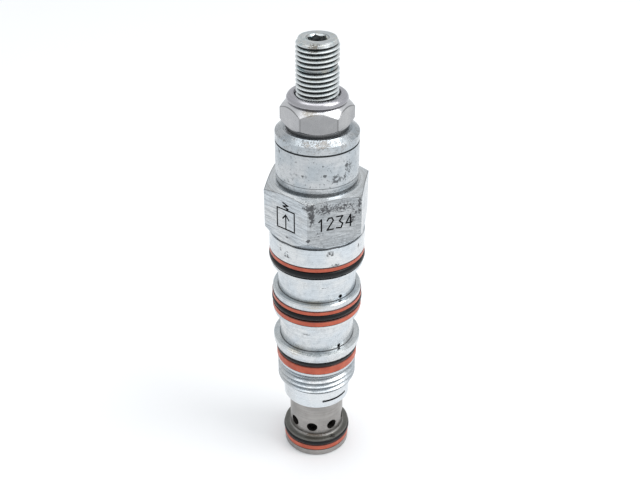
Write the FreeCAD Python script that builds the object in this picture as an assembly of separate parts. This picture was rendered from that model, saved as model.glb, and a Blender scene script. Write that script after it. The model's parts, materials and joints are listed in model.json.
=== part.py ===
"""Four-port screw-in cartridge valve with an adjusting screw and locknut.

Millimetres. The valve stands on its nose: the axis is +Z, the origin is the
centre of the nose's end face. Angles are measured about +Z from -Y, positive
towards +X.
"""
import FreeCAD, Part
import math
import os

# ---- thread sizes -------------------------------------------------------
SCREW_PITCH = 25.4 / 24
SCREW_CREST_R = 4.74
SCREW_ROOT_R = 4.10
SCREW_GROOVE_Z = 87.72
LOCATING_PITCH = 1.5
LOCATING_CREST_R = 9.88
LOCATING_ROOT_R = 8.96
LOCATING_GROOVE_Z = 22.28
CREST_FLAT_SHARE = 0.125
THREAD_FLANK_DEG = 30.0
THREAD_CREST_MARGIN = 0.03
TURNS_PER_CUT = 4

# ---- running and fixed fits --------------------------------------------
SLIDE_GAP = 0.05
FIXED_GAP = 0.02
STOP_GAP = 0.05
RING_GAP = 0.02

# ---- adjusting screw ----------------------------------------------------
SCREW_TOP_Z = 112.3
SCREW_RIM_R = 4.10
SCREW_FIRST_CREST_Z = 111.1
SCREW_THREAD_BOTTOM_Z = 86.3
SCREW_WORN_TURN_Z = (106.15, 106.75)
SCREW_WORN_TURN_R = 4.35
SCREW_WORN_RUNOUT = 0.2
SCREW_RELIEF_R = 3.85
SCREW_HEAD_R = 5.35
SCREW_HEAD_BOTTOM_Z = 80.9
SCREW_HEAD_TOP_Z = 84.9
SCREW_STEM_R = 3.0
SCREW_TIP_Z = 77.2
SCREW_SEAL_Z = (82.9, 84.2)
SCREW_SEAL_ROOT_R = 4.2
SCREW_TIP_R = 2.1
SCREW_TIP_CROWN = 0.5
SCREW_STEM_CHAMFER_Z = 78.4
SOCKET_AF = 3.97
SOCKET_DEPTH = 4.6
SOCKET_MOUTH_R = 2.44
SOCKET_MOUTH_DEPTH = 1.0
SOCKET_CORNER_ANGLE = 12.0

# ---- locknut ------------------------------------------------------------
NUT_AF = 14.29
NUT_BOTTOM_Z = 92.25
NUT_WASHER_FACE_R = 6.95
NUT_WASHER_FACE_TOP_Z = 92.9
NUT_LOWER_CORNER_Z = 93.95
NUT_UPPER_CORNER_Z = 96.6
NUT_CONE_TOP_Z = 98.35
NUT_CONE_TOP_R = 6.32
NUT_COLLAR_R = 6.85
NUT_COLLAR_Z = 98.8
NUT_CROWN_MIDDLE = (6.47, 99.62)
NUT_CROWN_END_R = 5.55
NUT_TOP_Z = 100.0
NUT_MOUTH_R = 5.2
NUT_COUNTERSINK = 0.7
NUT_BORE_R = 4.82
NUT_FLAT_ANGLE = 2.6

# ---- adapter cap --------------------------------------------------------
CAP_TOP_Z = 92.2
CAP_TOP_FLAT_R = 7.9
CAP_EDGE_Z = 91.1
CAP_R = 9.47
CAP_GROOVE_Z = 89.1
CAP_GROOVE_WIDTH = 0.42
CAP_GROOVE_DEPTH = 0.32
CAP_LINE_Z = 81.2
CAP_LINE_WIDTH = 0.14
CAP_LINE_DEPTH = 0.10
CAP_FOOT_R = 9.12
CAP_FOOT_TOP_Z = 79.6
CAP_WALL_BOTTOM = (9.42, 79.9)
CAP_SHANK_R = 8.50
CAP_SHANK_BOTTOM_Z = 67.4
CAP_SHANK_TOP_Z = 77.05
CAP_SEAL_ROOT_R = 7.72
CAP_SEAL_TOP_Z = 78.7
CAP_PILOT_R = 8.88
CAP_SPRING_BORE_R = 6.9
CAP_SPRING_BORE_TOP_Z = 79.0
CAP_SEAL_BORE_R = SCREW_HEAD_R + SLIDE_GAP
CAP_SEAL_BORE_TOP_Z = 85.6
CAP_SCREW_BORE_R = 4.82

# ---- valve body: hexagon and shoulder -----------------------------------
HEX_AF = 22.225
HEX_CORNER_ANGLE = -9.0
HEX_TOP_Z = 79.3
HEX_TOP_FACE_R = 10.2
HEX_TOP_CORNER_Z = 78.35
HEX_BOTTOM_Z = 66.75
HEX_BOTTOM_FACE_R = 11.15
HEX_BOTTOM_CORNER_Z = 68.95
SHOULDER_R = 11.3
SHOULDER_UNDERCUT_R = 10.95
SHOULDER_UNDERCUT_Z = 66.45

# ---- valve body: seal lands, necks and locating thread -------------------
UPPER_GROOVE_Z = (58.2, 61.5)
UPPER_GROOVE_R = 9.45
UPPER_LAND_BOTTOM_Z = 57.35
UPPER_LAND_R = 11.1
NECK_1_R = 9.4
MIDDLE_FLANGE_TOP_Z = 50.4
MIDDLE_FLANGE_R = 10.7
MIDDLE_GROOVE_Z = (44.3, 48.9)
MIDDLE_GROOVE_R = 9.25
MIDDLE_LAND_BOTTOM_Z = 43.2
MIDDLE_LAND_R = 10.7
NECK_2_R = 9.1
LOWER_FLANGE_TOP_Z = 35.6
LOWER_FLANGE_R = 10.78
LOWER_FLANGE_TOP_EDGE_R = 10.05
LOWER_FLANGE_TAPER_Z = 34.1
LOWER_FLANGE_FOOT_R = 10.35
LOWER_GROOVE_Z = (28.9, 33.0)
LOWER_GROOVE_R = 8.55
THREAD_RELIEF_Z = (27.55, 28.25)
THREAD_RELIEF_R = 8.95
THREAD_BOTTOM_Z = 21.75
THREAD_CHAMFER_Z = 22.55
THREAD_CHAMFER_R = 8.95
LOWER_CYLINDER_R = 8.39
BODY_BOTTOM_Z = 16.6
EDGE = 0.15

# ---- valve body: bores ---------------------------------------------------
SLEEVE_R = 6.92
SLEEVE_BORE_R = SLEEVE_R + FIXED_GAP
SLEEVE_BORE_TOP_Z = 23.6
STEM_R = 3.4
GUIDE_BORE_R = STEM_R + SLIDE_GAP
GUIDE_BORE_TOP_Z = 34.0
PISTON_R = 5.2
PISTON_BORE_R = PISTON_R + SLIDE_GAP
PISTON_BORE_TOP_Z = 49.5
CHAMBER_R = 7.3
CHAMBER_TOP_Z = 67.0
BODY_THREAD_BORE_R = CAP_SHANK_R + FIXED_GAP
COUNTERBORE_R = CAP_PILOT_R + FIXED_GAP
COUNTERBORE_Z = 77.0
PORT_HOLE_R = 0.4
VENT_HOLE = (51.2, 36.3)
PILOT_HOLE = (36.25, 36.8)

# ---- nose sleeve ---------------------------------------------------------
SLEEVE_TOP_Z = 23.5
NOSE_FLANGE_TOP_Z = 5.5
NOSE_FLANGE_R = 8.44
NOSE_GROOVE_Z = (1.8, 4.9)
NOSE_GROOVE_R = 7.35
NOSE_CHAMFER = 0.3
SLEEVE_FILLET_R = 0.6
ARC_MIDDLE_SHARE = 1 - math.sqrt(0.5)
CROSS_HOLE_R = 1.4
CROSS_HOLE_Z = 8.5
CROSS_HOLE_COUNT = 8
CROSS_HOLE_ANGLE = -9.5
CHECK_BORE_R = 5.2
CHECK_STOP_Z = 5.8
SEAT_NOSE_BORE_R = 4.6
FLOW_CHAMBER_Z = (7.0, 15.8)
FLOW_CHAMBER_R = 5.5
SLEEVE_STEM_BORE_R = 4.0

# ---- retaining wire and its slot ------------------------------------------
WIRE_Z = 18.66
WIRE_RADIUS = 0.42
WIRE_GROOVE_HALF = 0.46
WIRE_RING_R = 6.93
SLOT_ANGLES = (12.8, 60.9)
SLOT_THICKNESS = 0.48
SLOT_END_HOLE_R = 0.38
WIRE_HOOK_R = 0.30
WIRE_HOOK_END_R = 7.6
WIRE_SWEEP_DEG = 308.0

# ---- check seat, its spring and snap ring ---------------------------------
CHECK_SEAT_R = CHECK_BORE_R - SLIDE_GAP
CHECK_FLANGE_BOTTOM_Z = 4.6
CHECK_SKIRT_R = 3.9
CHECK_SKIRT_BOTTOM_Z = 3.4
CHECK_SEAT_TOP_Z = 7.0
CHECK_SEAT_TOP_R = 4.5
CHECK_SEAT_BORE_R = 2.6
CHECK_SEAT_BORE_CHAMFER = 0.2
SNAP_RING_Z = (0.7, 1.4)
SNAP_RING_R = (3.7, 5.55)
SNAP_GROOVE_R = 5.6
SNAP_GAP_WIDTH = 2.2
CHECK_SPRING_MEAN_R = 4.5
CHECK_SPRING_WIRE_R = 0.28
CHECK_SPRING_TURNS = 3.0

# ---- poppet, piston and main spring ---------------------------------------
POPPET_TIP_Z = 6.1
POPPET_TIP_R = 1.6
POPPET_HEAD_Z = 8.05
POPPET_HEAD_TOP_Z = 9.2
POPPET_HEAD_R = 3.35
POPPET_NECK_R = 2.4
POPPET_NECK_BOTTOM_Z = 9.8
POPPET_NECK_TOP_Z = 14.5
STEM_BOTTOM_Z = 16.0
STEM_TOP_Z = 37.0
STEM_SEAL_Z = (28.0, 30.4)
STEM_SEAL_ROOT_R = 2.35
SPIGOT_R = 2.4
SPIGOT_TOP_Z = 47.5
PISTON_Z = (37.0, 48.0)
PISTON_SEAL_Z = (41.2, 44.0)
PISTON_SEAL_ROOT_R = 3.95
SEAT_HUB_R = 4.9
LOWER_SEAT_FLANGE_Z = (50.0, 51.8)
LOWER_SEAT_TOP_Z = 56.0
SPRING_SEAT_R = 6.6
SPRING_SPIGOT_R = 4.3
SPIGOT_CHAMFER = 0.6
HUB_CHAMFER = 0.3
UPPER_SEAT_FLANGE_Z = (73.6, 76.0)
UPPER_SEAT_BOTTOM_Z = 69.6
UPPER_SEAT_TOP_Z = SCREW_TIP_Z - 0.1
UPPER_SEAT_HUB_R = 3.4
MAIN_SPRING_MEAN_R = 5.5
MAIN_SPRING_WIRE_R = 0.95
MAIN_SPRING_TURNS = 7.0

# ---- rings: outer radii, and the heights that part two rings in one groove -----
RING_BEVEL = 0.12
INNER_RING_BEVEL = 0.05
UPPER_SPLIT_Z = 60.3
UPPER_BACKUP_R = 11.3
UPPER_O_RING_R = 11.48
MIDDLE_SPLIT_Z = (45.93, 47.72)
MIDDLE_LOWER_BACKUP_Z = 44.45
MIDDLE_BACKUP_R = 10.89
MIDDLE_O_RING_R = 11.03
LOWER_SPLIT_Z = 31.3
LOWER_O_RING_R = 10.25
LOWER_BACKUP_R = 10.1
LOWER_BACKUP_BEVEL = 0.3
NOSE_SPLIT_Z = 3.5
NOSE_BACKUP_Z = 1.92
NOSE_O_RING_R = 8.69
NOSE_BACKUP_R = 8.5
STEM_SPLIT_Z = 29.33
PISTON_SPLIT_Z = 42.48

# ---- marks engraved on two flats of the hexagon ----------------------------
MARK_DEPTH = 0.12
STROKE = 0.36
SYMBOL_FLAT_ANGLE = HEX_CORNER_ANGLE - 30.0
DIGITS_FLAT_ANGLE = HEX_CORNER_ANGLE + 30.0
SYMBOL_Z = 72.9
SYMBOL_HALF = 2.5
SYMBOL_SPRING_STEP = 0.42
DIGITS_Z = 73.2
DIGIT_HEIGHT = 3.0
DIGIT_WIDTH = 1.45
DIGIT_STEP = 2.25

ORIGIN = FreeCAD.Vector(0, 0, 0)
AXIS = FreeCAD.Vector(0, 0, 1)


def corner_r(across_flats):
    """Corner radius of a hexagon from its size across flats."""
    return across_flats / math.sqrt(3)


def outward(angle):
    """Unit vector that points away from the axis at an angle about it."""
    a = math.radians(angle)
    return FreeCAD.Vector(math.sin(a), -math.cos(a), 0)


def turned(steps):
    """Solid of revolution from an outline of (r, z) points.

    A step of two points is an arc through the first to the second.
    """
    here = FreeCAD.Vector(steps[0][0], 0, steps[0][1])
    first = here
    edges = []
    for step in steps[1:] + [steps[0]]:
        if isinstance(step[0], tuple):
            middle = FreeCAD.Vector(step[0][0], 0, step[0][1])
            end = FreeCAD.Vector(step[1][0], 0, step[1][1])
            edges.append(Part.Arc(here, middle, end).toShape())
        else:
            end = FreeCAD.Vector(step[0], 0, step[1])
            edges.append(Part.LineSegment(here, end).toShape())
        here = end
    assert here == first
    return Part.Face(Part.Wire(edges)).revolve(ORIGIN, AXIS, 360)


def hexagon(across_flats, corner_angle, bottom_z, top_z):
    """Upright hexagonal prism with one corner at the given angle."""
    corners = []
    for k in range(7):
        corner = outward(corner_angle + 60 * k) * corner_r(across_flats)
        corners.append(corner + AXIS * bottom_z)
    return Part.Face(Part.makePolygon(corners)).extrude(AXIS * (top_z - bottom_z))


def radial_hole(radius, z, angle, inner_r, outer_r):
    """Cylinder that runs outward at an angle, for cutting a drilled hole."""
    out = outward(angle)
    return Part.makeCylinder(radius, outer_r - inner_r, out * inner_r + AXIS * z, out)


def thread_cutter(crest_r, root_r, pitch, groove_z, turns):
    """Helical groove of a 60 degree thread, as a solid to cut away.

    Its lower end is at the angle 90, with the groove's middle at groove_z.
    """
    slope = math.tan(math.radians(THREAD_FLANK_DEG))
    depth = crest_r - root_r
    crest_half = pitch * (1 - CREST_FLAT_SHARE) / 2
    root_half = crest_half - depth * slope
    outer_r = crest_r + THREAD_CREST_MARGIN
    outer_half = crest_half + THREAD_CREST_MARGIN * slope
    corners = [(root_r, -root_half), (outer_r, -outer_half), (outer_r, outer_half), (root_r, root_half)]
    points = [FreeCAD.Vector(r, 0, z) for r, z in corners]
    profile = Part.makePolygon(points + points[:1])
    helix = Part.makeHelix(pitch, pitch * turns, crest_r)
    groove = Part.Wire(helix.Edges).makePipeShell([profile], True, True)
    groove.translate(AXIS * groove_z)
    return groove


def threaded_rod(crest_r, root_r, pitch, front_groove_z, bottom_z, top_z):
    """Rod with a thread over more than its stated length, to be trimmed to shape.

    The groove's middle passes the angle 0 at front_groove_z. It is cut in runs of a few
    turns that follow on from each other.
    """
    margin = 1.5 * pitch
    runs = math.ceil((top_z - bottom_z + 2 * margin) / (TURNS_PER_CUT * pitch))
    start_z = bottom_z - margin
    rod = Part.makeCylinder(crest_r, (runs * TURNS_PER_CUT + 3) * pitch, AXIS * (start_z - margin))
    for k in range(runs):
        groove_z = start_z + k * TURNS_PER_CUT * pitch
        rod = rod.cut(thread_cutter(crest_r, root_r, pitch, groove_z, TURNS_PER_CUT))
    rod.rotate(ORIGIN, AXIS, -90 - 360 * (front_groove_z - start_z) / pitch)
    return rod


def wire_coil(mean_r, wire_r, pitch, turns, bottom_z):
    """Helix of round wire whose middle line starts at bottom_z."""
    helix = Part.makeHelix(pitch, pitch * turns, mean_r)
    section = Part.Wire(Part.makeCircle(wire_r, FreeCAD.Vector(mean_r, 0, 0), FreeCAD.Vector(0, 1, 0)))
    coil = Part.Wire(helix.Edges).makePipeShell([section], True, True)
    coil.translate(AXIS * bottom_z)
    return coil


def main_spring():
    """Heavy coil spring with both ends ground flat."""
    bottom_z = LOWER_SEAT_FLANGE_Z[1] + FIXED_GAP
    top_z = UPPER_SEAT_FLANGE_Z[0] - FIXED_GAP
    pitch = (top_z - bottom_z) / MAIN_SPRING_TURNS
    coil = wire_coil(
        MAIN_SPRING_MEAN_R, MAIN_SPRING_WIRE_R, pitch, MAIN_SPRING_TURNS + 1, bottom_z - pitch / 2)
    slab = Part.makeCylinder(SPRING_SEAT_R + 1, top_z - bottom_z, AXIS * bottom_z)
    return coil.common(slab)


def check_spring():
    """Light coil spring with plain ends, between the snap ring and the check seat."""
    bottom_z = SNAP_RING_Z[1] + FIXED_GAP + CHECK_SPRING_WIRE_R
    top_z = CHECK_FLANGE_BOTTOM_Z - FIXED_GAP - CHECK_SPRING_WIRE_R
    pitch = (top_z - bottom_z) / CHECK_SPRING_TURNS
    return wire_coil(CHECK_SPRING_MEAN_R, CHECK_SPRING_WIRE_R, pitch, CHECK_SPRING_TURNS, bottom_z)


def o_ring(groove_r, outer_r, middle_z):
    """O-ring seated on its groove's floor."""
    section_r = (outer_r - groove_r - RING_GAP) / 2
    return Part.makeTorus(outer_r - section_r, section_r, AXIS * middle_z)


def flat_ring(inner_r, outer_r, bottom_z, top_z, edge=RING_BEVEL):
    """Flat ring with small bevels on its outer edges."""
    return turned([
        (inner_r, bottom_z), (outer_r - edge, bottom_z), (outer_r, bottom_z + edge),
        (outer_r, top_z - edge), (outer_r - edge, top_z), (inner_r, top_z),
    ])


def stroke(start, end, angle, flat_r):
    """Engraving stroke between two (across, z) points of a flat."""
    out = outward(angle)
    across = outward(angle + 90)
    ends = [across * p[0] + AXIS * p[1] + out * (flat_r - MARK_DEPTH) for p in (start, end)]
    run = ends[1] - ends[0]
    side = run.cross(out).normalize() * (STROKE / 2)
    corners = [ends[0] + side, ends[1] + side, ends[1] - side, ends[0] - side, ends[0] + side]
    bar = Part.Face(Part.makePolygon(corners)).extrude(out)
    caps = [Part.makeCylinder(STROKE / 2, 1.0, p, out) for p in ends]
    return [bar] + caps


def engraving(paths, angle, flat_r):
    """All strokes of a mark as one cutting tool."""
    pieces = []
    for path in paths:
        for start, end in zip(path, path[1:]):
            pieces.extend(stroke(start, end, angle, flat_r))
    return pieces[0].multiFuse(pieces[1:]).removeSplitter()


def symbol_paths():
    """Square with a flow arrow through it and a spring drawn as a zigzag."""
    h = SYMBOL_HALF
    z = SYMBOL_Z
    frame = [(-h, z - h), (h, z - h), (h, z + h), (-h, z + h), (-h, z - h)]
    arrow = [(0, z - h), (0, z + 0.45 * h)]
    head = [(-0.35 * h, z + 0.05 * h), (0, z + 0.5 * h), (0.35 * h, z + 0.05 * h)]
    zigzag = [(0, z + h)]
    for k in range(4):
        zigzag.append((0.3 * h * (-1) ** k, z + h + SYMBOL_SPRING_STEP * (k + 1)))
    return [frame, arrow, head, zigzag]


def digit_paths():
    """The digits 1 2 3 4 side by side, each drawn on a unit cell."""
    shapes = [
        [[(0.2, 0.8), (0.6, 1.0), (0.6, 0.0)]],
        [[(0.0, 0.8), (0.25, 1.0), (0.75, 1.0), (1.0, 0.75), (0.0, 0.0), (1.0, 0.0)]],
        [[(0.0, 1.0), (1.0, 1.0), (0.45, 0.6), (1.0, 0.35), (0.75, 0.0), (0.0, 0.05)]],
        [[(0.75, 0.0), (0.75, 1.0), (0.0, 0.3), (1.0, 0.3)]],
    ]
    paths = []
    for place, shape in enumerate(shapes):
        left = (place - 1.5) * DIGIT_STEP - DIGIT_WIDTH / 2
        for path in shape:
            paths.append([(left + x * DIGIT_WIDTH, DIGITS_Z + (y - 0.5) * DIGIT_HEIGHT) for x, y in path])
    return paths


def body_hexagon():
    """Hexagon with a chamfer above and below."""
    corner = corner_r(HEX_AF)
    return hexagon(HEX_AF, HEX_CORNER_ANGLE, HEX_BOTTOM_Z, HEX_TOP_Z).common(turned([
        (0, HEX_BOTTOM_Z), (HEX_BOTTOM_FACE_R, HEX_BOTTOM_Z), (corner, HEX_BOTTOM_CORNER_Z),
        (corner, HEX_TOP_CORNER_Z), (HEX_TOP_FACE_R, HEX_TOP_Z), (0, HEX_TOP_Z),
    ]))


def body_stem():
    """Turned stem from the lower cylinder up to the shoulder, without the locating thread."""
    return turned([
        (0, BODY_BOTTOM_Z),
        (LOWER_CYLINDER_R - EDGE, BODY_BOTTOM_Z), (LOWER_CYLINDER_R, BODY_BOTTOM_Z + EDGE),
        (LOWER_CYLINDER_R, THREAD_RELIEF_Z[0]), (THREAD_RELIEF_R, THREAD_RELIEF_Z[0]),
        (THREAD_RELIEF_R, THREAD_RELIEF_Z[1]),
        (LOCATING_CREST_R, THREAD_RELIEF_Z[1]), (LOCATING_CREST_R, LOWER_GROOVE_Z[0]),
        (LOWER_GROOVE_R, LOWER_GROOVE_Z[0]), (LOWER_GROOVE_R, LOWER_GROOVE_Z[1]),
        (LOWER_FLANGE_FOOT_R, LOWER_GROOVE_Z[1]), (LOWER_FLANGE_R, LOWER_FLANGE_TAPER_Z),
        (LOWER_FLANGE_R, LOWER_FLANGE_TOP_Z - 2 * EDGE), (LOWER_FLANGE_TOP_EDGE_R, LOWER_FLANGE_TOP_Z),
        (NECK_2_R, LOWER_FLANGE_TOP_Z), (NECK_2_R, MIDDLE_LAND_BOTTOM_Z),
        (MIDDLE_LAND_R - EDGE, MIDDLE_LAND_BOTTOM_Z), (MIDDLE_LAND_R, MIDDLE_LAND_BOTTOM_Z + EDGE),
        (MIDDLE_LAND_R, MIDDLE_GROOVE_Z[0]), (MIDDLE_GROOVE_R, MIDDLE_GROOVE_Z[0]),
        (MIDDLE_GROOVE_R, MIDDLE_GROOVE_Z[1]), (MIDDLE_FLANGE_R, MIDDLE_GROOVE_Z[1]),
        (MIDDLE_FLANGE_R, MIDDLE_FLANGE_TOP_Z - 2 * EDGE),
        (MIDDLE_FLANGE_R - 2 * EDGE, MIDDLE_FLANGE_TOP_Z),
        (NECK_1_R, MIDDLE_FLANGE_TOP_Z), (NECK_1_R, UPPER_LAND_BOTTOM_Z),
        (UPPER_LAND_R - EDGE, UPPER_LAND_BOTTOM_Z), (UPPER_LAND_R, UPPER_LAND_BOTTOM_Z + EDGE),
        (UPPER_LAND_R, UPPER_GROOVE_Z[0]), (UPPER_GROOVE_R, UPPER_GROOVE_Z[0]),
        (UPPER_GROOVE_R, UPPER_GROOVE_Z[1]), (SHOULDER_R - EDGE, UPPER_GROOVE_Z[1]),
        (SHOULDER_R, UPPER_GROOVE_Z[1] + EDGE), (SHOULDER_R, SHOULDER_UNDERCUT_Z - EDGE),
        (SHOULDER_UNDERCUT_R, SHOULDER_UNDERCUT_Z), (SHOULDER_UNDERCUT_R, HEX_BOTTOM_Z + EDGE),
        (0, HEX_BOTTOM_Z + EDGE),
    ])


def body_bores():
    """Everything that is bored along the axis, as one cutting tool."""
    return turned([
        (0, BODY_BOTTOM_Z - 1), (SLEEVE_BORE_R, BODY_BOTTOM_Z - 1),
        (SLEEVE_BORE_R, WIRE_Z - WIRE_GROOVE_HALF),
        (WIRE_RING_R + WIRE_GROOVE_HALF, WIRE_Z - WIRE_GROOVE_HALF),
        (WIRE_RING_R + WIRE_GROOVE_HALF, WIRE_Z + WIRE_GROOVE_HALF),
        (SLEEVE_BORE_R, WIRE_Z + WIRE_GROOVE_HALF), (SLEEVE_BORE_R, SLEEVE_BORE_TOP_Z),
        (GUIDE_BORE_R, SLEEVE_BORE_TOP_Z), (GUIDE_BORE_R, GUIDE_BORE_TOP_Z),
        (PISTON_BORE_R, GUIDE_BORE_TOP_Z), (PISTON_BORE_R, PISTON_BORE_TOP_Z),
        (CHAMBER_R, PISTON_BORE_TOP_Z), (CHAMBER_R, CHAMBER_TOP_Z),
        (BODY_THREAD_BORE_R, CHAMBER_TOP_Z), (BODY_THREAD_BORE_R, COUNTERBORE_Z),
        (COUNTERBORE_R, COUNTERBORE_Z), (COUNTERBORE_R, HEX_TOP_Z + 1), (0, HEX_TOP_Z + 1),
    ])


def wire_slot():
    """Narrow slot round part of the lower cylinder, open to the retaining wire."""
    half = AXIS * (SLOT_THICKNESS / 2)
    inner = outward(SLOT_ANGLES[0]) * WIRE_RING_R + AXIS * WIRE_Z
    outer = outward(SLOT_ANGLES[0]) * (LOWER_CYLINDER_R + 1) + AXIS * WIRE_Z
    section = Part.makePolygon([inner - half, outer - half, outer + half, inner + half, inner - half])
    return Part.Face(section).revolve(ORIGIN, AXIS, SLOT_ANGLES[1] - SLOT_ANGLES[0])


def locating_thread():
    """Male thread under the lower seals, chamfered at its start."""
    rod = threaded_rod(
        LOCATING_CREST_R, LOCATING_ROOT_R, LOCATING_PITCH, LOCATING_GROOVE_Z, THREAD_BOTTOM_Z,
        THREAD_RELIEF_Z[0])
    clear_r = LOCATING_CREST_R + 1
    return rod.common(turned([
        (0, THREAD_BOTTOM_Z), (THREAD_CHAMFER_R, THREAD_BOTTOM_Z), (clear_r, THREAD_CHAMFER_Z + 1),
        (clear_r, THREAD_RELIEF_Z[0] - 1), (THREAD_RELIEF_R, THREAD_RELIEF_Z[0] + 0.1),
        (THREAD_RELIEF_R, THREAD_RELIEF_Z[0] + EDGE), (0, THREAD_RELIEF_Z[0] + EDGE),
    ]))


def valve_body():
    """Hexagon, shoulder, seal lands, necks, locating thread and all bores in one piece."""
    body = body_stem().fuse(locating_thread()).fuse(body_hexagon())
    cutters = [
        body_bores(), wire_slot(),
        radial_hole(SLOT_END_HOLE_R, WIRE_Z, SLOT_ANGLES[0], WIRE_RING_R, LOWER_CYLINDER_R + 1),
        radial_hole(PORT_HOLE_R, VENT_HOLE[0], VENT_HOLE[1], CHAMBER_R - 1, NECK_1_R + 1),
        radial_hole(PORT_HOLE_R, PILOT_HOLE[0], PILOT_HOLE[1], PISTON_BORE_R - 1, NECK_2_R + 1),
        engraving(symbol_paths(), SYMBOL_FLAT_ANGLE, HEX_AF / 2),
        engraving(digit_paths(), DIGITS_FLAT_ANGLE, HEX_AF / 2),
    ]
    for cutter in cutters:
        body = body.cut(cutter)
    return body


def adapter_cap():
    """Round cap that screws into the body and carries the adjusting screw."""
    return turned([
        (CAP_SPRING_BORE_R, CAP_SHANK_BOTTOM_Z), (CAP_SHANK_R - 2 * EDGE, CAP_SHANK_BOTTOM_Z),
        (CAP_SHANK_R, CAP_SHANK_BOTTOM_Z + 2 * EDGE), (CAP_SHANK_R, CAP_SHANK_TOP_Z),
        (CAP_SEAL_ROOT_R, CAP_SHANK_TOP_Z), (CAP_SEAL_ROOT_R, CAP_SEAL_TOP_Z),
        (CAP_PILOT_R, CAP_SEAL_TOP_Z), (CAP_PILOT_R, HEX_TOP_Z), (CAP_FOOT_R, HEX_TOP_Z),
        (CAP_FOOT_R, CAP_FOOT_TOP_Z), CAP_WALL_BOTTOM,
        (CAP_R, CAP_LINE_Z - CAP_LINE_WIDTH), (CAP_R - CAP_LINE_DEPTH, CAP_LINE_Z - CAP_LINE_WIDTH),
        (CAP_R - CAP_LINE_DEPTH, CAP_LINE_Z), (CAP_R, CAP_LINE_Z),
        (CAP_R, CAP_GROOVE_Z - CAP_GROOVE_WIDTH / 2),
        (CAP_R - CAP_GROOVE_DEPTH, CAP_GROOVE_Z - CAP_GROOVE_WIDTH / 2),
        (CAP_R - CAP_GROOVE_DEPTH, CAP_GROOVE_Z + CAP_GROOVE_WIDTH / 2),
        (CAP_R, CAP_GROOVE_Z + CAP_GROOVE_WIDTH / 2), (CAP_R, CAP_EDGE_Z),
        (CAP_TOP_FLAT_R, CAP_TOP_Z), (CAP_SCREW_BORE_R + EDGE, CAP_TOP_Z),
        (CAP_SCREW_BORE_R, CAP_TOP_Z - EDGE), (CAP_SCREW_BORE_R, CAP_SEAL_BORE_TOP_Z),
        (CAP_SEAL_BORE_R, CAP_SEAL_BORE_TOP_Z), (CAP_SEAL_BORE_R, CAP_SPRING_BORE_TOP_Z),
        (CAP_SPRING_BORE_R, CAP_SPRING_BORE_TOP_Z),
    ])


def locknut():
    """Hexagon nut with a conical shoulder and a rounded collar."""
    corner = corner_r(NUT_AF)
    envelope = turned([
        (NUT_BORE_R + EDGE, NUT_BOTTOM_Z), (NUT_WASHER_FACE_R, NUT_BOTTOM_Z),
        (NUT_WASHER_FACE_R, NUT_WASHER_FACE_TOP_Z), (corner, NUT_LOWER_CORNER_Z),
        (corner, NUT_UPPER_CORNER_Z), (NUT_CONE_TOP_R, NUT_CONE_TOP_Z),
        (NUT_COLLAR_R, NUT_COLLAR_Z), (NUT_CROWN_MIDDLE, (NUT_CROWN_END_R, NUT_TOP_Z)),
        (NUT_MOUTH_R, NUT_TOP_Z), (NUT_BORE_R, NUT_TOP_Z - NUT_COUNTERSINK),
        (NUT_BORE_R, NUT_BOTTOM_Z + EDGE),
    ])
    prism = hexagon(NUT_AF, NUT_FLAT_ANGLE + 30, NUT_BOTTOM_Z - 1, NUT_TOP_Z + 1)
    return envelope.common(prism)


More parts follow.
